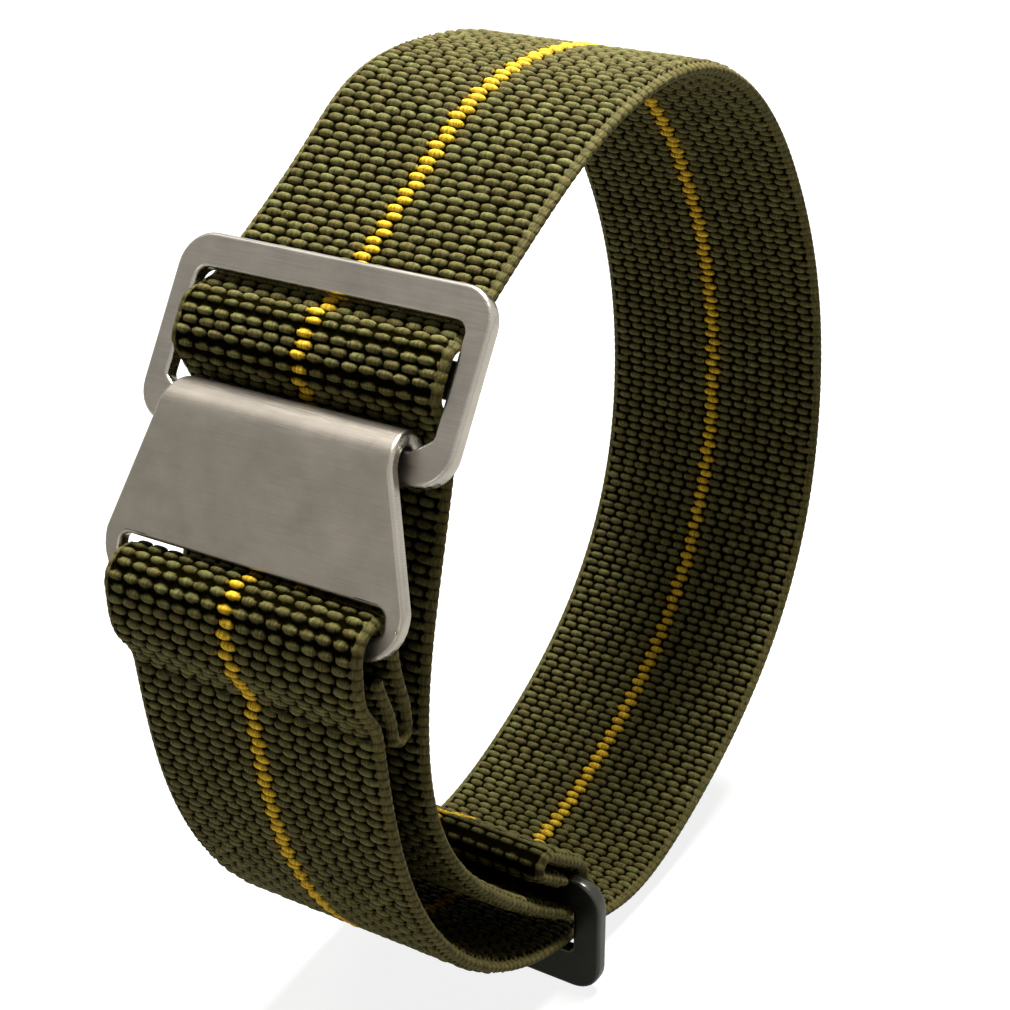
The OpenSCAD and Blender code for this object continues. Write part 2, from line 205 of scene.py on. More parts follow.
def outline(corners, spacing=0.35):
    """Outline through corners (x, y, radius). A corner that turns left is rounded by its radius: the arc's
    points are its centre less the radius times the left normal. One that turns right has radius 0 and
    stays sharp. Points are at most spacing apart."""
    xy = np.array([c[:2] for c in corners], float)
    radius = np.array([c[2] for c in corners], float)
    step = xy - np.roll(xy, 1, 0)
    head_in = np.degrees(np.arctan2(step[:, 1], step[:, 0]))
    bend = (np.roll(head_in, -1) - head_in + 180) % 360 - 180
    centre = xy + radius[:, None] * (left_of(head_in)
                                     - np.tan(np.radians(bend / 2))[:, None] * toward(head_in))
    heads = head_in[:, None] + bend[:, None] * np.linspace(0, 1, corner_points)
    points = (centre[:, None] - radius[:, None, None] * left_of(heads)).reshape(-1, 2)
    points = points[np.linalg.norm(points - np.roll(points, 1, 0), axis=1) > 1e-6]
    closed = np.r_[points, points[:1]]
    along = np.r_[0, np.cumsum(np.linalg.norm(np.diff(closed, axis=0), axis=1))]
    s = np.union1d(along[:-1], np.arange(0, along[-1], spacing))
    return np.stack([np.interp(s, along, closed[:, k]) for k in (0, 1)], -1)


def plate_grid(outer, window, thickness, flat_steps):
    """A plate with one window as a grid that closes both ways, in plate coordinates (x, y, n). Rays from
    the window's centre pair points of the two outlines. A section goes up the outer wall, round its edge
    by a quarter circle, over the front, round the window's edge and back behind. Returned with it is how
    far each point is round an edge, from 0 on the flats to 1."""
    centre = (window.min(0) + window.max(0)) / 2
    walls = []
    angles = np.sort(np.concatenate([np.arctan2(*(o - centre).T[::-1]) for o in (outer, window)]))
    angles = np.unique(np.round(angles / ray_step)) * ray_step
    for line in (outer, window):
        tangent = np.roll(line, -1, 0) - np.roll(line, 1, 0)
        tangent /= np.linalg.norm(tangent, axis=1)[:, None]
        columns = np.c_[line, -tangent[:, 1], tangent[:, 0]]
        turn = np.arctan2(*(line - centre).T[::-1])
        walls.append(np.stack([np.interp(angles, turn[np.argsort(turn)], columns[np.argsort(turn), k],
                                         period=2 * math.pi) for k in range(4)], -1))
    quarter = np.radians(np.linspace(0, 90, edge_points))
    inset = edge * (1 - np.cos(quarter))
    rise = thickness / 2 - edge + edge * np.sin(quarter)
    share = 0.5 - 0.5 * np.cos(np.linspace(0, math.pi, flat_steps + 2)[1:-1])
    steel_in = walls[0][:, None, :2] + inset[:, None] * walls[0][:, None, 2:]
    steel_out = walls[1][:, None, :2] - inset[:, None] * walls[1][:, None, 2:]
    face = steel_in[:, -1:] * (1 - share[:, None]) + steel_out[:, -1:] * share[:, None]
    front = np.concatenate([steel_in, face, steel_out[:, ::-1]], 1)
    height = np.r_[rise, np.full(flat_steps, thickness / 2), rise[::-1]]
    round_edge = np.r_[np.cos(quarter), np.zeros(flat_steps), np.cos(quarter[::-1])]
    section = np.concatenate([front, front[:, ::-1]], 1)
    n = np.broadcast_to(np.r_[height, -height[::-1]], section.shape[:2])
    edge_highlight_and_wear = np.broadcast_to(np.r_[round_edge, round_edge[::-1]], section.shape[:2])
    return np.concatenate([section, n[..., None]], -1), edge_highlight_and_wear


def grid_faces(rows, columns, wrap_rows=True, wrap_columns=True):
    """Quads between neighbouring points of a grid, closed along each side that wraps."""
    i = np.arange(rows if wrap_rows else rows - 1)[:, None]
    j = np.arange(columns if wrap_columns else columns - 1)[None, :]
    i1 = (i + 1) % rows
    j1 = (j + 1) % columns
    return np.stack([i * columns + j, i1 * columns + j, i1 * columns + j1, i * columns + j1],
                    -1).reshape(-1, 4)


def strip_caps(rows, columns):
    """Quads that close both ends of a grid that wraps only along its columns, by pairing each point of
    an end with its mirror on the other side of the section."""
    i = np.arange(columns // 2 - 1)
    cap = np.stack([i, i + 1, columns - 2 - i, columns - 1 - i], -1)
    return np.r_[cap[:, ::-1], cap + (rows - 1) * columns]


def make_piece(name, points, faces, material, attributes=()):
    """A smooth mesh at the origin from points in millimetres and quads, turned to face outwards: its
    volume, the sum of the corner products of its triangles, is made positive."""
    corners = points[faces]
    volume = 0
    for k in (1, 2):
        volume += np.einsum("ij,ij->", corners[:, 0], np.cross(corners[:, k], corners[:, k + 1]))
    if volume < 0:
        faces = faces[:, ::-1]
    mesh = bpy.data.meshes.new(name)
    mesh.vertices.add(len(points))
    mesh.vertices.foreach_set("co", (points * MM).astype(np.float32).ravel())
    mesh.loops.add(faces.size)
    mesh.loops.foreach_set("vertex_index", faces.astype(np.int32).ravel())
    mesh.polygons.add(len(faces))
    mesh.polygons.foreach_set("loop_start", np.arange(0, faces.size, 4, dtype=np.int32))
    mesh.update(calc_edges=True)
    mesh.validate()
    mesh.shade_smooth()
    for label, values in dict(attributes).items():
        flat = values.size == len(points)
        layer = mesh.attributes.new(label, "FLOAT" if flat else "FLOAT_VECTOR", "POINT")
        layer.data.foreach_set("value" if flat else "vector", values.astype(np.float32).ravel())
    mesh.materials.append(material)
    piece = bpy.data.objects.new(name, mesh)
    bpy.context.scene.collection.objects.link(piece)
    return piece


def brushed_plate(name, steel, edge_highlight_steel, roughness, grain):
    """Nickel-plated steel, brushed along X. It is metallic, so its colour is its reflectance. The brush
    lines are about 0.03 mm wide on the real plate and are drawn at grain, in mm, so that they show. Edges
    that were tumbled and rubbed are smoother, and their colour is mixed towards a brighter one: a painted
    highlight along the rounded edges. Both follow how far round an edge a point is."""
    material = bpy.data.materials.new(name)
    tree = blank_tree(material)
    coordinates = add(tree, "ShaderNodeTexCoord")
    along = add(tree, "ShaderNodeMapping", {"Vector": coordinates.outputs["Object"],
                "Scale": (1 / (40 * grain * MM), 1 / (grain * MM), 1 / (grain * MM))})
    lines = add(tree, "ShaderNodeTexNoise", {"Vector": along.outputs[0], "Scale": 1.0, "Detail": 3.0,
                "Roughness": 0.6})
    cloud = add(tree, "ShaderNodeTexNoise", {"Vector": coordinates.outputs["Object"],
                "Scale": 1 / (2.5 * MM), "Detail": 4.0, "Roughness": 0.55})
    edge_highlight_and_wear = add(tree, "ShaderNodeAttribute", attribute_name="edge_highlight_and_wear")
    highlight_and_rub = add(tree, "ShaderNodeMapRange", {"Value": edge_highlight_and_wear.outputs["Fac"], "From Min": 0.15,
              "From Max": 0.85})
    shade = add(tree, "ShaderNodeMapRange", {"Value": cloud.outputs["Fac"], "From Min": 0.3,
                "From Max": 0.7, "To Min": 0.86, "To Max": 1.08})
    fleck = add(tree, "ShaderNodeMapRange", {"Value": lines.outputs["Fac"], "From Min": 0.25,
                "From Max": 0.75, "To Min": 0.92, "To Max": 1.07})
    both = add(tree, "ShaderNodeMath", {0: shade.outputs[0], 1: fleck.outputs[0]}, operation="MULTIPLY")
    # Painted highlight: towards the rounded edges the colour goes to the brighter edge colour. The lower
    # roughness there is the tumbling's wear.
    base = add(tree, "ShaderNodeMix", {0: highlight_and_rub.outputs[0], 6: colour(steel), 7: colour(edge_highlight_steel)},
               data_type="RGBA")
    tinted = add(tree, "ShaderNodeVectorMath", {0: base.outputs[2], 1: both.outputs[0]},
                 operation="MULTIPLY")
    gloss = add(tree, "ShaderNodeMapRange", {"Value": lines.outputs["Fac"], "From Min": 0.3,
                "From Max": 0.7, "To Min": roughness - 0.06, "To Max": roughness + 0.08})
    smooth = add(tree, "ShaderNodeMapRange", {"Value": highlight_and_rub.outputs[0], "To Min": 0.0, "To Max": -0.1})
    rough = add(tree, "ShaderNodeMath", {0: gloss.outputs[0], 1: smooth.outputs[0]})
    relief = add(tree, "ShaderNodeBump", {"Height": lines.outputs["Fac"], "Strength": 0.35,
                 "Distance": 0.02 * MM})
    steel_shader = add(tree, "ShaderNodeBsdfPrincipled", {"Base Color": tinted.outputs[0],
                       "Metallic": 1.0, "Roughness": rough.outputs[0], "Normal": relief.outputs[0]})
    add(tree, "ShaderNodeOutputMaterial", {"Surface": steel_shader.outputs[0]})
    return material


def bar_grid(length, height, thickness):
    """A bar along X with a superellipse of exponent 5 as its section."""
    t = np.radians(np.arange(0, 360, 7.5) + 3.75)
    x = np.linspace(-length / 2, length / 2, 12)[:, None]
    y = np.sign(np.cos(t)) * np.abs(np.cos(t)) ** 0.4 * height / 2
    n = np.sign(np.sin(t)) * np.abs(np.sin(t)) ** 0.4 * thickness / 2
    return np.stack(np.broadcast_arrays(x, y, n), -1)


ring_up = toward(90 - ring_lean)
ring_out = toward(180 - ring_lean)
ring_h = ring_top_h + ring_slot_top + ring_mid_h + ring_slot_low + ring_low_h
ring_low_c = place["hook_swing"]
ring_foot = ring_low_c - ring_low_h / 2 * ring_up
slant_x = window_w / 2 - ring_slant
window_high = ring_h - ring_top_h
ring_x = window_w / 2 + ring_side_w
ring_outer = outline([(-ring_x, 0, ring_corner), (ring_x, 0, ring_corner),
                      (ring_x, ring_h, ring_corner), (-ring_x, ring_h, ring_corner)])
ring_window = outline([
    (-slant_x, ring_low_h, ring_slot_r), (slant_x, ring_low_h, ring_slot_r),
    (window_w / 2, ring_low_h + ring_slant_h, ring_slot_r), (window_w / 2, window_high, ring_window_r),
    (-window_w / 2, window_high, ring_window_r), (-window_w / 2, ring_low_h + ring_slant_h, ring_slot_r)])


def flat_place(grid, foot, up, out):
    """Points (x, y, n) of a flat plate in the object's frame: foot + y * up + n * out."""
    return np.concatenate([grid[..., :1], foot + grid[..., 1:2] * up + grid[..., 2:] * out], -1)


ring_grid, ring_edge_highlight_and_wear = plate_grid(ring_outer, ring_window, ring_t, plate_steps)
middle_grid = bar_grid(window_w + 2 * middle_bar_in, ring_mid_h, ring_mid_t)
middle_grid[..., 1] += ring_low_h + ring_slot_low + ring_mid_h / 2
middle_grid[..., 2] += (ring_mid_t - ring_t) / 2
ring_points = flat_place(ring_grid, ring_foot, ring_up, ring_out).reshape(-1, 3)
middle_points = flat_place(middle_grid, ring_foot, ring_up, ring_out).reshape(-1, 3)
middle_faces = np.r_[grid_faces(*middle_grid.shape[:2], wrap_rows=False),
                     strip_caps(*middle_grid.shape[:2])]
ring_faces = np.r_[grid_faces(*ring_grid.shape[:2]), middle_faces + len(ring_points)]
ring_steel = brushed_plate("brushed_nickel_on_steel", "#857f75", "#b5afa4", 0.34, 0.10)
ring_piece = make_piece("ring_plate", np.r_[ring_points, middle_points], ring_faces, ring_steel,
                        {"edge_highlight_and_wear": np.r_[ring_edge_highlight_and_wear.ravel(), np.zeros(len(middle_points))]})
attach(ring_piece, "ring")
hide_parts("adjuster_ring")


# The hook plate: one flat blank of the same steel with a slot near its lower edge, for the webbing's
# front end. Its upper part is bent back over the ring's lowest bar into an open hook, and it hangs there
# by the webbing's pull. The wearer unhooks it to open the band.
hook_t = 1.0
hook_bend_r = 1.3
hook_lip = 1.2
hook_lean = 18.5
hook_l = 11.6
hook_top_w = 17.0
hook_flare = 0.5
hook_slot_h = 1.7
hook_bar_h = 1.8
hook_side_w = 1.4
hook_corner = 3.0
hook_shoulder_r = 1.5
hook_lip_r = 0.5
hook_slot_r = 0.6
hook_steps = 44

hook_up = toward(90 - hook_lean)
hook_out = toward(180 - hook_lean)
hook_mid_r = hook_bend_r + hook_t / 2
hook_wide = -hook_l + hook_corner + hook_shoulder_r / 3
bend_l = math.pi * hook_mid_r
blank_top = bend_l + hook_lip
low_x = window_w / 2 + hook_side_w
top_x = hook_top_w / 2
flare_x = top_x + hook_flare
slot_low = -hook_l + hook_bar_h
hook_outer = outline([
    (-low_x, -hook_l, hook_corner), (low_x, -hook_l, hook_corner), (low_x, hook_wide, hook_shoulder_r),
    (flare_x, 0, 0.0), (top_x, bend_l / 2, 0.0), (top_x, blank_top, hook_lip_r),
    (-top_x, blank_top, hook_lip_r), (-top_x, bend_l / 2, 0.0), (-flare_x, 0, 0.0),
    (-low_x, hook_wide, hook_shoulder_r)])
hook_slot = outline([
    (-window_w / 2, slot_low, hook_slot_r), (window_w / 2, slot_low, hook_slot_r),
    (window_w / 2, slot_low + hook_slot_h, hook_slot_r),
    (-window_w / 2, slot_low + hook_slot_h, hook_slot_r)])


def bent_place(grid):
    """Points (x, y, n) of the hook's flat blank in the object's frame. Below y = 0 the blank is a flat
    plate. From there it turns about the bend's centre by y / middle radius, up to half a turn, and what
    is left of it runs straight down as the lip."""
    y = grid[..., 1:2]
    turn = np.clip(y, 0, bend_l) / hook_mid_r
    radial = np.cos(turn) * hook_out + np.sin(turn) * hook_up
    straight = np.minimum(y, 0) * hook_up - np.maximum(y - bend_l, 0) * hook_up
    return np.concatenate([grid[..., :1], place["hook_swing"] + straight
                           + (hook_mid_r + grid[..., 2:]) * radial], -1)


hook_grid, hook_edge_highlight_and_wear = plate_grid(hook_outer, hook_slot, hook_t, hook_steps)
hook_steel = brushed_plate("satin_nickel_on_steel", "#847d72", "#aea79b", 0.38, 0.06)
hook_piece = make_piece("hook_blank", bent_place(hook_grid).reshape(-1, 3),
                        grid_faces(*hook_grid.shape[:2]), hook_steel, {"edge_highlight_and_wear": hook_edge_highlight_and_wear.ravel()})
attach(hook_piece, "hook")
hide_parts("hook_plate")


# The keeper frame: a stamped and tumbled plate of the same steel with one window. The inner layer's end
# is sewn round its upper bar, and the band runs freely through the window over its lower bar.
keeper_t = 1.2
keeper_top_h = 2.4
keeper_low_h = 3.2
keeper_window_h = 4.0
keeper_side_w = 2.3
keeper_corner = 2.2
keeper_window_r = 0.5

keeper_h = keeper_low_h + keeper_window_h + keeper_top_h
keeper_foot = place["keeper_swing"] - (keeper_h - keeper_top_h / 2) * toward(90)
keeper_x = window_w / 2 + keeper_side_w
keeper_outer = outline([(-keeper_x, 0, keeper_corner), (keeper_x, 0, keeper_corner),
                        (keeper_x, keeper_h, keeper_corner), (-keeper_x, keeper_h, keeper_corner)])
keeper_window = outline([
    (-window_w / 2, keeper_low_h, keeper_window_r), (window_w / 2, keeper_low_h, keeper_window_r),
    (window_w / 2, keeper_low_h + keeper_window_h, keeper_window_r),
    (-window_w / 2, keeper_low_h + keeper_window_h, keeper_window_r)])
keeper_grid, keeper_edge_highlight_and_wear = plate_grid(keeper_outer, keeper_window, keeper_t, plate_steps)
# Painted shade: the keeper is the same steel as the ring and hook, but its colours are much darker, standing
# for the shade it lies in and the dark it reflects.
keeper_shaded_steel = brushed_plate("nickel_on_steel_painted_dark", "#2f302b", "#4c4b45", 0.36, 0.12)
keeper_piece = make_piece("keeper_plate",
                          flat_place(keeper_grid, keeper_foot, toward(90), toward(180)).reshape(-1, 3),
                          grid_faces(*keeper_grid.shape[:2]), keeper_shaded_steel,
                          {"edge_highlight_and_wear": keeper_edge_highlight_and_wear.ravel()})
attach(keeper_piece, "keeper")
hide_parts("keeper_frame")


# The webbing: one length of narrow woven elastic, polyester yarn over covered rubber. Its front end is
# folded over the hook's slot bar and sewn. It goes down the front, through the keeper, up the back, over
# the top and through the ring, and down the inside to the keeper's upper bar, where it is sewn again.
clasp_y = -33.75
back_y = 33.75
hem_r = 0.76
hook_hem_l = 7.0
keeper_hem_l = 5.6
front_a = -82.0
pass_a = -8.0
heel_a = 22
rear_a = 90
shoulder_a = 127
crest_a = 180
waist_a = 271
tuck_a = -36.0
drop_a = 258.5
ring_lead = 27.0
arc_points = 60
span_points = 160


# A station of the webbing's middle line is (y, z, heading), with the loop on the left of the heading.
def arc(centre, radius, turn, start, stop):
    """Stations on a circle about centre, from heading start to stop; turn is 1 to the left, -1 to the
    right, and a point is the centre less turn times the radius times the left normal."""
    headings = np.linspace(start, stop, arc_points)
    return np.c_[centre - turn * radius * left_of(headings), headings]


def span(p0, a0, p1, a1, k0=0.36, k1=0.36):
    """Stations on the cubic curve from p0 at heading a0 to p1 at a1, with handles k0 and k1 of the chord."""
    chord = np.linalg.norm(p1 - p0)
    c0 = p0 + k0 * chord * toward(a0)
    c1 = p1 - k1 * chord * toward(a1)
    t = np.linspace(0, 1, span_points)[:, None]
    s = 1 - t
    points = s**3 * p0 + 3 * s * s * t * c0 + 3 * s * t * t * c1 + t**3 * p1
    speed = s * s * (c0 - p0) + 2 * s * t * (c1 - c0) + t * t * (p1 - c1)
    return np.c_[points, np.degrees(np.unwrap(np.arctan2(speed[:, 1], speed[:, 0])))]


def near(angle, other):
    """The angle brought within a half turn of another."""
    return other + (angle - other + 180) % 360 - 180


def tangent_heading(c0, r0, c1, r1):
    """Heading of the straight line that leaves circle 0 and meets circle 1, both with signed radii."""
    v = c1 - c0
    return math.degrees(math.atan2(v[1], v[0]) - math.asin((r1 - r0) / np.linalg.norm(v)))


def wrap_r(height, thickness):
    """Radius of the middle line folded round a bar of that section."""
    return math.hypot(height / 2 - edge, thickness / 2 - edge) + edge + web_gap + web_t / 2


slot_bar_r = wrap_r(hook_bar_h, hook_t)
slot_bar_c = place["hook_swing"] + (hook_bar_h / 2 - hook_l) * hook_up + hook_mid_r * hook_out
slot_front = slot_bar_c - slot_bar_r * left_of(front_a)
slot_back = slot_bar_c + slot_bar_r * left_of(front_a)
front_top = slot_front + hook_hem_l * toward(front_a)
hook_hem_c = front_top + (web_t + web_gap + hem_r) * left_of(front_a)
hook_tuck = hook_hem_c - hem_r * left_of(front_a) - (hook_hem_l - hook_bar_h / 2 - web_t) * toward(front_a)
keeper_bar_c = place["keeper_swing"]
keeper_pass = np.array([keeper_bar_c[0], keeper_low_h + layer_gap + web_t / 2])
heel = np.array([clasp_y + 46.0, 4.3])
rear = np.array([back_y - web_t / 2, 31.9])
shoulder = np.array([back_y - 9.2, 56.3])
crest = np.array([clasp_y + 38.9, 67.1])
waist = np.array([clasp_y + 7.2, 31.0])


def on_ring(s, n):
    """The point s up the ring's plate from its lower edge and n out of its front face."""
    return ring_foot + s * ring_up + (n + ring_t / 2) * ring_out


ring_down_a = 270 - ring_lean
lead_a = ring_down_a - ring_lead
fold_r = edge + web_gap + web_t / 2
lip_r = hook_bend_r + hook_t + layer_gap + web_t / 2
mid_n = ring_mid_t - ring_t - edge
mid_low = ring_low_h + ring_slot_low
over_top = on_ring(window_high + edge, edge - ring_t)
mid_upper = on_ring(mid_low + ring_mid_h - edge, mid_n)
mid_lower = on_ring(mid_low + edge, mid_n)
climb_a = near(tangent_heading(over_top, -fold_r, mid_upper, fold_r), ring_down_a)
dive_a = near(tangent_heading(mid_lower, fold_r, ring_low_c, -lip_r), ring_down_a)
keeper_r = wrap_r(keeper_top_h, keeper_t)
rise_a = tuck_a + 180
hem_rise = keeper_bar_c - keeper_r * left_of(rise_a)
keeper_hem_c = hem_rise + keeper_hem_l * toward(rise_a) + hem_r * left_of(rise_a)
keeper_tuck = (keeper_hem_c + hem_r * left_of(rise_a)
               - (keeper_hem_l - keeper_top_h / 2 - layer_gap) * toward(rise_a))

runs = {
    "hook_end": [
        np.array([[*hook_tuck, front_a]]),
        arc(hook_hem_c, hem_r, 1, front_a, front_a + 180),
        span(hook_hem_c + hem_r * left_of(front_a), front_a + 180, slot_back, front_a + 180),
        arc(slot_bar_c, slot_bar_r, 1, front_a + 180, front_a + 360),
        np.array([[*front_top, front_a + 360]])],
    "front_run": [span(front_top, front_a, keeper_pass, pass_a, 0.40, 0.36)],
    "bottom_run": [span(keeper_pass, pass_a, heel, heel_a, 0.36, 0.58)],
    "lower_back_run": [span(heel, heel_a, rear, rear_a, 0.39, 0.41)],
    "upper_back_run": [span(rear, rear_a, shoulder, shoulder_a)],
    "top_run": [span(shoulder, shoulder_a, crest, crest_a)],
    "ring_run": [span(crest, crest_a, over_top + fold_r * left_of(lead_a), lead_a)],
    "ring_fold": [
        arc(over_top, fold_r, -1, lead_a, climb_a),
        arc(mid_upper, fold_r, 1, climb_a, ring_down_a),
        arc(mid_lower, fold_r, 1, ring_down_a, dive_a),
        arc(ring_low_c, lip_r, -1, dive_a, drop_a)],
    "inner_run": [
        span(ring_low_c + lip_r * left_of(drop_a), drop_a, waist, waist_a),
        span(waist, waist_a, keeper_bar_c - keeper_r * left_of(tuck_a), tuck_a, 0.36, 0.42)],
    "keeper_end_loop": [arc(keeper_bar_c, keeper_r, 1, tuck_a, rise_a)],
    "keeper_end_hem": [
        np.array([[*hem_rise, rise_a]]),
        arc(keeper_hem_c, hem_r, 1, rise_a, rise_a + 180),
        np.array([[*keeper_tuck, rise_a + 180]])]}

# The weave: fifteen raised loops to a row, rows 0.7 mm apart, and every second row moved by a quarter
# of a loop. The middle loop of each row is yellow, so the stripe is a zigzag. The loops are modelled,
# and the dark between them is painted shade that follows their height. Where the webbing is folded
# its rows stand apart on the outside of the fold.
row = 0.70
loop_w = 1.25
face_loops = 15
row_steps = 5
loop_steps = 8
selvage_steps = 5
row_shift = 2 / loop_steps
loop_from_middle = 0.5
loop_reach = 0.525
loop_square = 2.4
row_reach = 0.48
yarn_stray = 0.10
yarn_uneven = 0.18
valley_n = 0.30
loop_rise = 0.36
stripe_rise = 0.04
selvage_n = 0.32
selvage_rise = 0.10
selvage_notch = 0.16
selvage_tone = 0.35
seam_in_hook = 0.8
seam_in_keeper = 1.5
seam_depth = 0.2
seam_w = 0.5

route = np.concatenate([part for parts in runs.values() for part in parts])
run_stops = np.cumsum([sum(len(part) for part in parts) for parts in runs.values()]) - 1
step_l = np.r_[1, np.linalg.norm(np.diff(route[:, :2], axis=0), axis=1)]
route_s = np.cumsum(step_l) - 1
heading = np.degrees(np.unwrap(np.radians(route[:, 2])))
rows_in_all = round(route_s[-1] / row)
row = route_s[-1] / rows_in_all
run_cuts = np.r_[0, np.round(route_s[run_stops] / row).astype(int) * row_steps]
station_s = np.arange(rows_in_all * row_steps + 1) * row / row_steps
keep = step_l > 1e-6
station = np.stack([np.interp(station_s, route_s[keep], v[keep])
                    for v in (route[:, 0], route[:, 1], heading)], -1)

face_half = face_loops * loop_steps // 2
face_k = np.arange(-face_half, face_half + 1) + 1
face_u = (face_k / loop_steps - row_shift / 2) * loop_w
selvage_w = web_w / 2 - face_u[-1]
turn = np.radians((np.arange(selvage_steps) + 0.5) * 90 / selvage_steps)
half_k = np.r_[[face_k[0] - 1] * selvage_steps, face_k, [face_k[-1] + 1] * selvage_steps]
half_u = np.pad(face_u, selvage_steps)
half_turn = np.r_[-turn[::-1], np.zeros(len(face_u)), turn]
half_flat = half_turn == 0


def scatter(a, b):
    """A repeatable number from 0 to 1 for each pair of numbers: the fraction of a large sine."""
    return np.mod(np.sin(a * 12.9898 + b * 78.233) * 43758.5453, 1)


def weave(rows_along, stretch, flip):
    """Height of the loops from 0 to 1, and the numbers of each loop and row, on a grid of rows along and
    samples across. A loop is a dome about its centre: the root of 1 less the distance along over its
    reach, squared, and less the distance across over its reach, to the power loop_square. Its reach
    along shrinks by the stretch of its face in a fold, and its height by the root of that. Loops differ
    a little, as yarn does. On the selvage each row is a rib, 0.4 plus 0.4 times a half circle."""
    number = np.floor(rows_along + 1e-6)
    along = (rows_along - number - 0.5) * stretch
    across = half_k / loop_steps - row_shift * ((number + flip) % 2)
    loop = np.round(across)
    stray = yarn_stray * (scatter(loop + 50 * flip, number + 0.5) - 0.5)
    slip = yarn_stray * (scatter(loop + 70 * flip, number + 0.7) - 0.5)
    power = (np.abs((across - loop - stray) / loop_reach) ** loop_square
             + ((along - slip) / row_reach) ** 2)
    even = 1 - yarn_uneven + yarn_uneven * scatter(loop + 90 * flip, number + 0.3)
    height = even / np.sqrt(np.maximum(stretch, 1))
    rib = 0.40 + 0.40 * np.sqrt(np.clip(1 - (along / 0.5) ** 2, 0, 1)) + 0 * across
    return np.where(half_flat, height * np.sqrt(np.clip(1 - power, 0, 1)), rib), loop, number


def near_station(point):
    """Length along the webbing of the station nearest to a point (y, z)."""
    return station_s[np.argmin(np.linalg.norm(station[:, :2] - point, axis=1))]


hook_seam = front_top - seam_in_hook * toward(front_a)
keeper_seam = hem_rise + (keeper_hem_l - seam_in_keeper) * toward(rise_a)
layers = [hook_seam, hook_seam + (web_t + web_gap) * left_of(front_a),
          hook_seam + (web_t + web_gap + 2 * hem_r) * left_of(front_a),
          keeper_seam, keeper_seam + 2 * hem_r * left_of(rise_a)]
dent = sum(seam_depth * np.exp(-((station_s - near_station(p)) / seam_w) ** 2) for p in layers)


def bump(centre, before, after):
    """1 at a length along the webbing, falling on each side as a Gaussian of that side's width."""
    return np.exp(-((station_s - centre) / np.where(station_s < centre, before, after)) ** 2)


# The webbing is drawn in at the hook's seam, and the fold above that seam bulges. In the ring the webbing
# spreads and lies a little nearer to -X, and on its way there its edge at -X stands higher than the other.
seam_narrows = 0.01
ring_spreads = 0.028
ring_slides = 0.12
edge_lifts = 1.3
fold_swells = 0.5
seam_s = near_station(hook_seam)
fold_s = near_station(over_top)
squeeze = 1 - seam_narrows * bump(seam_s, 7, 14) + ring_spreads * bump(fold_s + 4, 4, 6)
slide = -ring_slides * bump(fold_s + 4, 8, 9)
lift = edge_lifts * bump(fold_s - 18, 8, 6)
swell = fold_swells * bump(seam_s - 3.2, 2.5, 1.6)

# The hem's seam pulls the front inwards, most at the seam itself, and the middle line turns with it.
seam_pull = 1.0
below_seam = (station[:, :2] - hook_seam) @ toward(front_a)
pull_reach = np.where(below_seam < 0, 3.0, 12.0)
pull = seam_pull * np.exp(-(below_seam / pull_reach) ** 2) * (station_s < near_station(keeper_pass))
station[:, :2] += pull[:, None] * left_of(front_a)
station[:, 2] -= np.degrees(np.arctan(2 * below_seam / pull_reach ** 2 * pull))
bend_per_mm = np.gradient(np.radians(station[:, 2]), station_s)


def webbing_grid(start, stop):
    """The webbing's surface between two stations. Its section runs along the outer face, round one edge,
    back along the inner face and round the other edge. A point is the middle line plus its height along
    the left normal. Its x is scaled by squeeze and moved by slide, and it is moved outwards by swell and
    by lift, which is whole at the edge at -X and nothing at the other."""
    rows_along = np.arange(start, stop + 1)[:, None] / row_steps
    sides = []
    for side, flip in ((-1, 0), (1, 1)):
        stretch = 1 - side * loop_from_middle * bend_per_mm[start:stop + 1, None]
        rise, loop, number = weave(rows_along, stretch, flip)
        middle = half_flat & (loop == 0)
        face_n = valley_n + (loop_rise + stripe_rise * middle) * rise - dent[start:stop + 1, None]
        edge_n = (selvage_n + selvage_rise * rise) * np.cos(half_turn)
        notch = selvage_notch * (1 - rise)
        edge_u = face_u[-1] + selvage_w * np.abs(np.sin(half_turn)) * (1 - notch)
        n = side * np.where(half_flat, face_n, edge_n)
        u = np.where(half_flat, half_u, np.sign(half_turn) * edge_u)
        tone = np.where(half_flat, scatter(loop + 100 * side, number),
                        selvage_tone * scatter(40 * np.sign(half_turn) + 100 * side, number))
        shift = -swell[start:stop + 1, None] - lift[start:stop + 1, None] * (0.5 - u / web_w)
        x = u * squeeze[start:stop + 1, None] + slide[start:stop + 1, None]
        values = [x, n + shift, rise, middle + 0 * rise, tone, u + 0 * rise]
        sides.append(np.stack(values, -1)[:, ::-side])
    return np.concatenate(sides, 1)


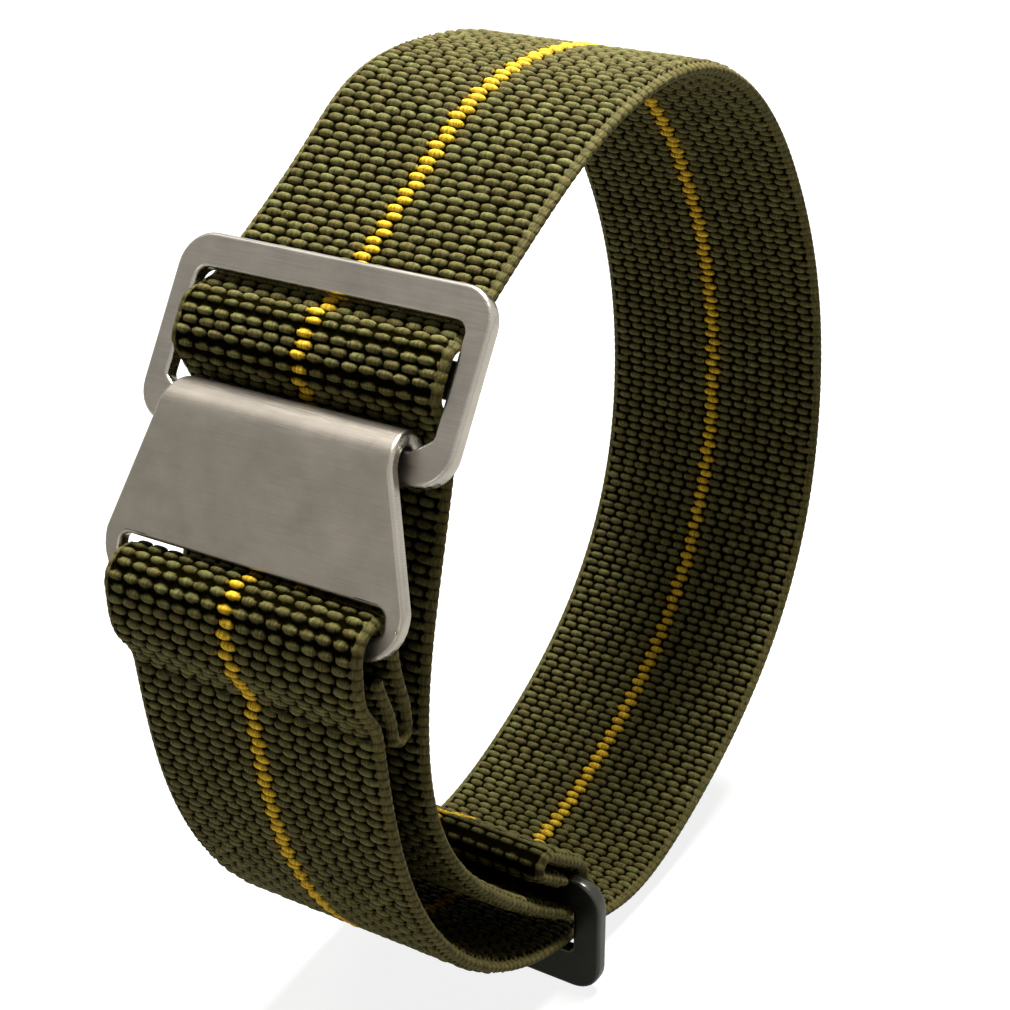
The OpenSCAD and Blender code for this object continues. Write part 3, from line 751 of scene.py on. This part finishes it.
def woven_elastic():
    """Woven polyester over covered rubber: a dull yarn whose loops catch the light on their crowns. Its
    colour goes to near black where the loops are low, between them and on flattened loops in folds:
    painted shade for the deep gaps. Green and brown filaments are mixed, so each loop has its own tone.
    Filaments are about 0.02 mm thick and are drawn at 0.14 mm."""
    material = bpy.data.materials.new("olive_woven_elastic")
    tree = blank_tree(material)
    cloth = add(tree, "ShaderNodeAttribute", attribute_name="cloth")
    crown = add(tree, "ShaderNodeAttribute", attribute_name="rise")
    yellow = add(tree, "ShaderNodeAttribute", attribute_name="stripe")
    tone = add(tree, "ShaderNodeAttribute", attribute_name="tone")
    spun = add(tree, "ShaderNodeMapping", {"Vector": cloth.outputs["Vector"], "Scale": (7.0, 1.6, 1.0)})
    filament = add(tree, "ShaderNodeTexNoise", {"Vector": spun.outputs[0], "Scale": 1.0, "Detail": 2.0,
                   "Roughness": 0.6})
    patch = add(tree, "ShaderNodeTexNoise", {"Vector": cloth.outputs["Vector"], "Scale": 0.35,
                "Detail": 2.0})
    ply = add(tree, "ShaderNodeTexNoise", {"Vector": cloth.outputs["Vector"], "Scale": 1.5, "Detail": 1.0})
    ply_mix = add(tree, "ShaderNodeMapRange", {"Value": ply.outputs["Fac"], "From Min": 0.3,
                  "From Max": 0.7})
    mixed = add(tree, "ShaderNodeMix", {0: 0.5, 2: tone.outputs["Fac"], 3: ply_mix.outputs[0]})
    yarn = add(tree, "ShaderNodeValToRGB", {"Fac": mixed.outputs[0]})
    yarn.color_ramp.elements[0].color = colour("#56552b")
    yarn.color_ramp.elements[1].color = colour("#7b7848")
    yarn.color_ramp.elements.new(0.45).color = colour("#695f37")
    yarn.color_ramp.elements.new(0.70).color = colour("#6d6b3c")
    gold = add(tree, "ShaderNodeMix", {0: filament.outputs["Fac"], 6: colour("#f2b41c"),
               7: colour("#ffdd4c")}, data_type="RGBA")
    dyed = add(tree, "ShaderNodeMix", {0: yellow.outputs["Fac"], 6: yarn.outputs["Color"],
               7: gold.outputs[2]}, data_type="RGBA")
    depth = add(tree, "ShaderNodeMapRange", {"Value": crown.outputs["Fac"], "From Min": 0.15,
                "From Max": 0.85}, interpolation_type="SMOOTHSTEP")
    grain = add(tree, "ShaderNodeMapRange", {"Value": filament.outputs["Fac"], "From Min": 0.3,
                "From Max": 0.7, "To Min": 0.55, "To Max": 1.35})
    cloud = add(tree, "ShaderNodeMapRange", {"Value": patch.outputs["Fac"], "From Min": 0.3,
                "From Max": 0.7, "To Min": 0.90, "To Max": 1.08})
    shade = add(tree, "ShaderNodeMath", {0: grain.outputs[0], 1: cloud.outputs[0]}, operation="MULTIPLY")
    tinted = add(tree, "ShaderNodeVectorMath", {0: dyed.outputs[2], 1: shade.outputs[0]},
                 operation="MULTIPLY")
    # Painted shade: the yarn colour is mixed towards near black where the loops' height is low, in the gaps
    # between loops and rows and on the flattened loops in folds.
    painted_gap_shade = add(tree, "ShaderNodeMix", {0: depth.outputs[0], 6: colour("#0b0900"), 7: tinted.outputs[0]},
               data_type="RGBA")
    gleam = add(tree, "ShaderNodeMath", {0: depth.outputs[0], 1: 0.07}, operation="MULTIPLY")
    relief = add(tree, "ShaderNodeBump", {"Height": filament.outputs["Fac"], "Strength": 1.0,
                 "Distance": 0.14 * MM})
    cloth_shader = add(tree, "ShaderNodeBsdfPrincipled", {"Base Color": painted_gap_shade.outputs[2],
                       "Roughness": 0.60, "IOR": 1.5, "Specular IOR Level": gleam.outputs[0],
                       "Normal": relief.outputs[0]})
    add(tree, "ShaderNodeOutputMaterial", {"Surface": cloth_shader.outputs[0]})
    return material


webbing_material = woven_elastic()
for run, start, stop in zip(runs, run_cuts[:-1], run_cuts[1:]):
    grid = webbing_grid(start, stop)
    middle = station[start:stop + 1, None, :2]
    normal = left_of(station[start:stop + 1, 2])[:, None]
    points = np.concatenate([grid[..., :1], middle + grid[..., 1:2] * normal], -1)
    cloth = np.stack([grid[..., 5], station_s[start:stop + 1, None] + 0 * grid[..., 5],
                      0 * grid[..., 5]], -1)
    shape = grid.shape[:2]
    name = run + "_webbing"
    piece = make_piece(name, points.reshape(-1, 3),
                       np.r_[grid_faces(*shape, wrap_rows=False), strip_caps(*shape)], webbing_material,
                       {"rise": grid[..., 2], "stripe": grid[..., 3], "tone": grid[..., 4],
                        "cloth": cloth})
    if run == "hook_end":
        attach(piece, "hook")
        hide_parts("hook_end_loop", "hook_end_hem", "hook_stripe")
    elif run == "front_run":
        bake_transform(piece)
        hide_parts("front_run", "front_stripe")
    else:
        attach(piece, "strap")
        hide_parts(run, "strap_stripe")


# The seams: one row of lockstitch through each folded end, in olive polyester thread. A stitch is a
# short bow of thread on the face, and its ends go down into the webbing.
thread_r = 0.17
stitch_l = 1.3
stitch_pitch = 2.2
stitch_sinks = 1.5 * thread_r
stitch_proud = 0.03
stitch_rings = 15
thread_sides = 12
stitch_x = np.array([-4, -3, -2, -1, 1, 2, 3, 4]) * stitch_pitch


def stitch_grid(x, middle, out):
    """One stitch: a round tube along X about a bow that sinks towards its ends as the fourth power of the
    distance, and narrows there as the root of 1 less the eighth power."""
    t = np.linspace(-0.995, 0.995, stitch_rings)[:, None]
    a = np.radians((np.arange(thread_sides) + 0.5) * 360 / thread_sides)[None, :]
    r = thread_r * np.sqrt(1 - t**8)
    along = toward(math.degrees(math.atan2(out[1], out[0])) - 90)
    up = r * np.sin(a) - stitch_sinks * t**4
    yz = middle + up[..., None] * out + (r * np.cos(a))[..., None] * along
    return np.concatenate([np.broadcast_to(x + t * stitch_l / 2, up.shape)[..., None], yz], -1)


def sewing_thread():
    """Twisted polyester thread: round, slightly glossy and fuzzy, in the webbing's dark olive. Its twist
    is about 0.4 mm long and shows as slanted bands."""
    material = bpy.data.materials.new("olive_polyester_thread")
    tree = blank_tree(material)
    coordinates = add(tree, "ShaderNodeTexCoord")
    twist = add(tree, "ShaderNodeTexWave", {"Vector": coordinates.outputs["Object"],
                "Scale": 0.5 / (0.4 * MM) / math.pi, "Distortion": 1.5, "Detail": 1.0},
                bands_direction="DIAGONAL")
    ply = add(tree, "ShaderNodeMix", {0: twist.outputs["Fac"], 6: colour("#1f1e0e"),
              7: colour("#454324")}, data_type="RGBA")
    relief = add(tree, "ShaderNodeBump", {"Height": twist.outputs["Fac"], "Strength": 0.5,
                 "Distance": 0.05 * MM})
    thread_shader = add(tree, "ShaderNodeBsdfPrincipled", {"Base Color": ply.outputs[2],
                        "Roughness": 0.7, "Specular IOR Level": 0.08, "Normal": relief.outputs[0]})
    add(tree, "ShaderNodeOutputMaterial", {"Surface": thread_shader.outputs[0]})
    return material


thread_material = sewing_thread()
for node, body, seam, out in (("hook_seam", "hook", hook_seam + seam_pull * left_of(front_a),
                               -left_of(front_a)),
                              ("keeper_seam", "strap", keeper_seam, -left_of(rise_a))):
    middle = seam + (valley_n + loop_rise - seam_depth + stitch_proud) * out
    grids = np.stack([stitch_grid(x, middle, out) for x in stitch_x])
    count, rows, columns = grids.shape[:3]
    faces = np.r_[grid_faces(rows, columns, wrap_rows=False), strip_caps(rows, columns)]
    faces = (faces[None] + (np.arange(count) * rows * columns)[:, None, None]).reshape(-1, 4)
    piece = make_piece(node + "_thread", grids.reshape(-1, 3), faces, thread_material)
    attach(piece, body)
    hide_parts(node)
